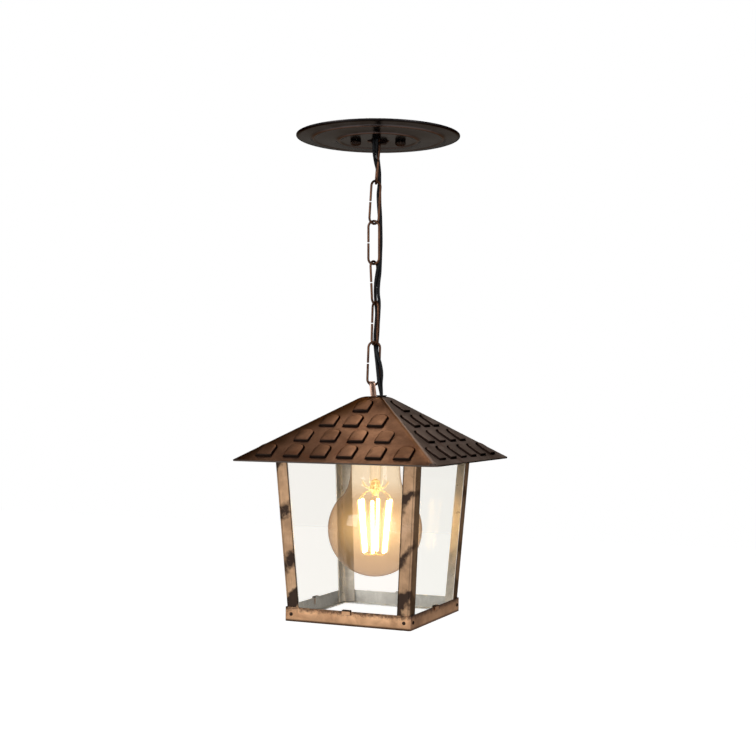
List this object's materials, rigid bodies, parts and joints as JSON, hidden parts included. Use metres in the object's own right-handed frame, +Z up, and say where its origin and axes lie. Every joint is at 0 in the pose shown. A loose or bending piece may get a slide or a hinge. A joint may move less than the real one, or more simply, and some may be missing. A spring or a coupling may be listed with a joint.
{
  "type": "hanging lantern",
  "caption": "Copper-plated hanging lantern with a tiled pyramid roof, clear glass sides and an open bottom, on an open-link chain under a round ceiling canopy.",
  "frame": {"origin": "centre of the mounting bracket's top face, which lies against the ceiling", "axes": "+Z up, -Y towards the lantern's front, +X to the front's right"},
  "size_m": [0.16, 0.16, 0.3744],
  "materials": {
    "copper_sheet": "copper-plated steel sheet, antiqued brown with torch patina",
    "bright_copper": "brushed copper plating",
    "dark_copper": "dark antiqued copper plating",
    "bronze": "satin dark bronze plating",
    "zinc_steel": "zinc plated",
    "brass": "rolled",
    "black_pvc": "semi-matt",
    "nylon": "moulded",
    "porcelain": "glazed",
    "bakelite": "moulded",
    "clear_glass": "clear float glass",
    "amber_glass": "clear amber-tinted glass",
    "stem_glass": "clear glass",
    "filament": "phosphor coated, lit"
  },
  "bodies": {
    "canopy": {"mounting_bracket": "zinc_steel", "canopy_plate": "bronze", "chain_anchor": "dark_copper", "canopy_stud_left": "zinc_steel", "canopy_stud_right": "zinc_steel", "canopy_nut_left": "dark_copper", "canopy_nut_right": "dark_copper", "terminal_block": "nylon", "lead_live": "black_pvc", "lead_neutral": "black_pvc"},
    "link_1": {"chain_link_1": "dark_copper"},
    "link_2": {"chain_link_2": "dark_copper"},
    "link_3": {"chain_link_3": "dark_copper"},
    "link_4": {"chain_link_4": "dark_copper"},
    "link_5": {"chain_link_5": "dark_copper"},
    "link_6": {"chain_link_6": "dark_copper"},
    "lantern": {"hanger_strap": "bright_copper", "lead_grommet": "black_pvc", "roof": "copper_sheet", "top_frame": "copper_sheet", "base_frame": "copper_sheet", "corner_post_front_left": "copper_sheet", "corner_post_front_right": "copper_sheet", "corner_post_back_right": "copper_sheet", "corner_post_back_left": "copper_sheet", "glass_pane_front": "clear_glass", "glass_pane_right": "clear_glass", "glass_pane_back": "clear_glass", "glass_pane_left": "clear_glass", "glass_clip_front": "copper_sheet", "glass_clip_right": "copper_sheet", "glass_clip_back": "copper_sheet", "glass_clip_left": "copper_sheet", "base_rivet_1": "dark_copper", "base_rivet_2": "dark_copper", "base_rivet_3": "dark_copper", "base_rivet_4": "dark_copper", "base_rivet_5": "dark_copper", "base_rivet_6": "dark_copper", "base_rivet_7": "dark_copper", "base_rivet_8": "dark_copper", "lampholder_bracket": "zinc_steel", "lampholder_nipple": "zinc_steel", "nipple_nut": "brass", "lampholder_body": "bakelite", "lampholder_insert": "porcelain", "lampholder_contact": "brass", "lampholder_sleeve": "brass"},
    "bulb": {"bulb_glass": "amber_glass", "bulb_cap": "brass", "bulb_insulator": "bakelite", "bulb_tip": "brass", "bulb_stem": "stem_glass", "filament_rod": "stem_glass", "filament_1": "filament", "filament_2": "filament", "filament_3": "filament", "filament_4": "filament", "filament_5": "filament", "filament_6": "filament"}
  },
  "joints": [
    {"name": "link_1_swing", "type": "hinge", "parent": "canopy", "child": "link_1", "pos_m": [0.00092, 0.0004, -0.00585], "axis": [0.9157, 0.4019, 0], "range_deg": [-30, 30], "deforming": ["lead_live", "lead_neutral"]},
    {"name": "link_2_swing", "type": "hinge", "parent": "link_1", "child": "link_2", "pos_m": [-0.0011, -0.00048, -0.03658], "axis": [-0.4802, 0.8771, 0], "range_deg": [-30, 30], "deforming": ["lead_live", "lead_neutral"]},
    {"name": "link_3_swing", "type": "hinge", "parent": "link_2", "child": "link_3", "pos_m": [-0.00256, -0.00112, -0.06732], "axis": [-0.4741, -0.8805, 0], "range_deg": [-30, 30], "deforming": ["lead_live", "lead_neutral"]},
    {"name": "link_4_swing", "type": "hinge", "parent": "link_3", "child": "link_4", "pos_m": [-0.00238, -0.00104, -0.09805], "axis": [-0.9996, -0.0297, 0], "range_deg": [-30, 30], "deforming": ["lead_live", "lead_neutral"]},
    {"name": "link_5_swing", "type": "hinge", "parent": "link_4", "child": "link_5", "pos_m": [-0.00092, -0.0004, -0.12878], "axis": [0.1959, 0.9806, 0], "range_deg": [-30, 30], "deforming": ["lead_live", "lead_neutral"]},
    {"name": "link_6_swing", "type": "hinge", "parent": "link_5", "child": "link_6", "pos_m": [-0.00146, -0.00064, -0.15952], "axis": [0.7955, -0.606, 0], "range_deg": [-30, 30], "deforming": ["lead_live", "lead_neutral"]},
    {"name": "lantern_swing", "type": "hinge", "parent": "link_6", "child": "lantern", "pos_m": [-0.0022, -0.00097, -0.19025], "axis": [-0.8934, -0.4493, 0], "range_deg": [-30, 30], "deforming": ["lead_live", "lead_neutral"]},
    {"name": "bulb_removal", "type": "slide", "parent": "lantern", "child": "bulb", "axis": [0, 0, -1], "range_m": [0, 0.16]}
  ]
}
